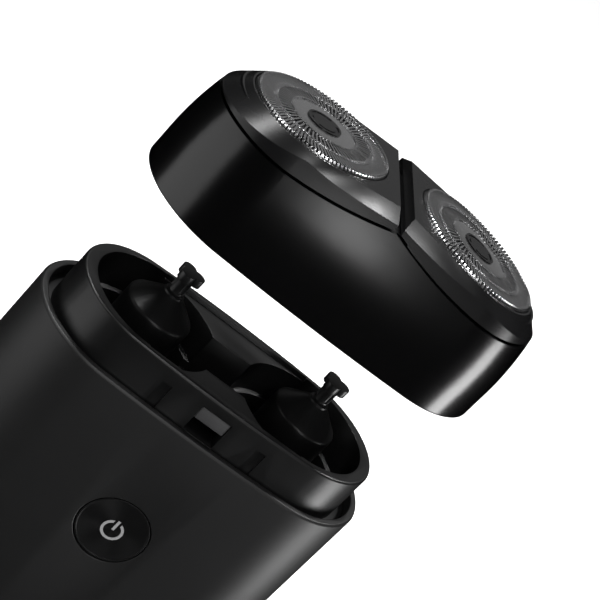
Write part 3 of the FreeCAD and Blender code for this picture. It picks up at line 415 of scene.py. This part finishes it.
def make_foil(side):
    """The slotted guard: plain middle, two raised bands of slanted bars, a slotted rim."""
    middle = spun_sheet("foil_middle", MIDDLE, 120)
    groove = spun_sheet("foil_groove", GROOVE, 180)
    foot = spun_sheet("foil_foot", FOOT, 180)
    inner = bar_ring("foil_inner_bars", INNER_BAND, INNER_BAR_WIDTH, SLANT, INNER_BARS)
    outer = bar_ring("foil_outer_bars", OUTER_BAND, OUTER_BAR_WIDTH, SLANT, OUTER_BARS)
    sheets = (middle, groove, foot, inner, outer)
    for sheet in sheets:
        thicken(sheet, SHEET)
    beads = [bead_ring("foil_beads", reach, height, BEAD_LENGTH, wide, BEAD_HEIGHT, count)
             for reach, height, wide, count in BEADS]
    foil = joined(side + "_foil_guard", *sheets, *beads)
    shade(foil, 50)
    return seated(foil, side)


def make_cap(side):
    """The turned cap in the foil's middle, with a groove in two arcs round its face."""
    bpy.ops.mesh.primitive_cylinder_add(vertices=96, radius=CAP_RADIUS * MM, depth=CAP_THICK * MM,
                                        location=(0, 0, (CAP_TOP - CAP_THICK / 2) * MM))
    cap = bpy.context.object
    cap.name = side + "_foil_disc"
    settle(cap)
    edit(cap)
    pick(cap, "FACE", lambda middle: middle.z > CAP_TOP - 0.01)
    bpy.ops.mesh.inset(thickness=CAP_RIM * MM)
    bpy.ops.mesh.inset(thickness=CAP_GROOVE * MM)

    def in_groove(middle):
        reach = math.hypot(middle.x, middle.y)
        bearing = math.degrees(math.atan2(middle.y, middle.x)) % 180
        on_ring = CAP_RADIUS - CAP_RIM - CAP_GROOVE < reach < CAP_RADIUS - CAP_RIM
        return middle.z > CAP_TOP - 0.01 and on_ring and abs(bearing - GAP_BEARING) > GAP_HALF
    pick(cap, "FACE", in_groove)
    bpy.ops.mesh.extrude_region_move(
        TRANSFORM_OT_translate={"value": (0, 0, -CAP_GROOVE_DEPTH * MM)})
    close_edit()
    ease(cap, 0.05)
    shade(cap, 20)
    return seated(cap, side)


# the pieces whose edges are eased: name, carried-over node, width in millimetres
EASED = [
    ("deck_moulding", "deck", 0.14),
    ("sleeve_moulding", "sleeve", 0.12),
    ("catch_moulding", "head_catch", 0.15),
    ("button_turning", "power_button", 0.08),
]


def make_new_pieces(finishes):
    for side in ("left", "right"):
        stand_in(make_foil(side), finishes, side + "_foil")
        stand_in(make_cap(side), finishes, side + "_foil_cap")
        stand_in(eased(side + "_spindle_turned", side + "_bell_spindle", 0.22, 3), finishes,
                 side + "_bell_spindle")
    for name, node, width in EASED:
        stand_in(eased(name, node, width), finishes, node)


# ------------------------------------------------------------------ camera, floor and light

def aim(thing, target, roll=0.0):
    """Turn a camera or light to face a point, then roll it about its own line of sight."""
    look = (Vector(target) - thing.location).to_track_quat("-Z", "Y")
    thing.rotation_euler = (look.to_matrix() @ Matrix.Rotation(roll, 3, "Z")).to_euler()


CAMERA_PLACE = (-0.0657, -0.2162, 0.1958)
CAMERA_TARGET = (0.00066, 0, 0.10503)
CAMERA_ROLL = 44.1
CAMERA_LENS, CAMERA_SENSOR = 101.39, 36


def set_camera():
    bpy.ops.object.camera_add(location=CAMERA_PLACE)
    camera = bpy.context.object
    camera.name = "portrait_camera"
    camera.data.lens = CAMERA_LENS
    camera.data.sensor_width = CAMERA_SENSOR
    camera.data.clip_start = 0.01
    aim(camera, CAMERA_TARGET, math.radians(CAMERA_ROLL))
    bpy.context.scene.camera = camera


def soft_box(name, place, target, width, height, power):
    """A lit panel of a width and height, turned to face the target, that the camera passes by."""
    bpy.ops.object.light_add(type="AREA", location=place)
    lamp = bpy.context.object
    lamp.name = name
    lamp.data.shape = "RECTANGLE"
    lamp.data.size = width
    lamp.data.size_y = height
    lamp.data.energy = power
    lamp.visible_camera = False
    aim(lamp, target)


def set_stage():
    bpy.ops.mesh.primitive_plane_add(size=12, location=(0, 0, -0.0002))
    floor = bpy.context.object
    floor.name = "pale_floor"
    material, _, shader = new_material("pale_floor")
    shader.inputs["Base Color"].default_value = (0.93, 0.93, 0.93, 1)
    shader.inputs["Roughness"].default_value = 0.9
    shader.inputs["Specular IOR Level"].default_value = 0.0
    floor.data.materials.append(material)
    # the low boxes reach below the floor, so it neither shows in gloss nor shades the object
    floor.visible_glossy = False
    floor.visible_shadow = False
    world = bpy.data.worlds.new("pale_room")
    world.use_nodes = True
    sky = world.node_tree.nodes["Background"]
    sky.inputs["Color"].default_value = (1, 1, 1, 1)
    sky.inputs["Strength"].default_value = 1.0
    world.cycles_visibility.glossy = False
    bpy.context.scene.world = world
    bpy.context.scene.view_settings.view_transform = "Standard"


def set_lights():
    """Broad low boxes draw the bands along the walls, small high ones the sparkle on the foils."""
    head = (0, 0, 0.115)
    soft_box("left_box", (-0.42, -0.10, 0.02), head, 0.40, 0.30, 0.5)
    soft_box("front_box", (0.13, -0.58, 0.16), head, 0.08, 0.14, 0.22)
    soft_box("right_box", (0.44, -0.12, -0.01), head, 0.14, 0.26, 1.2)
    soft_box("button_box", (0.02, -0.45, 0.42), (0, 0, 0.064), 0.10, 0.10, 0.35)
    soft_box("back_box", (0.15, 0.70, 0.50), head, 1.00, 0.50, 0.3)
    soft_box("bevel_box", (-0.37, 0.04, 0.60), head, 0.10, 0.14, 0.8)
    soft_box("left_spark", (-0.18, 0.30, 0.60), head, 0.06, 0.06, 1.6)
    soft_box("right_spark", (0.30, 0.15, 0.55), head, 0.06, 0.06, 1.6)
    soft_box("front_spark", (0.05, -0.25, 0.70), head, 0.06, 0.06, 0.9)
    soft_box("top_spark", (0.05, 0.05, 0.75), head, 0.06, 0.06, 1.6)


# ------------------------------------------------------------------ build

finishes = make_finishes()
dress_cad_nodes(finishes)
make_new_pieces(finishes)
set_camera()
set_stage()
set_lights()
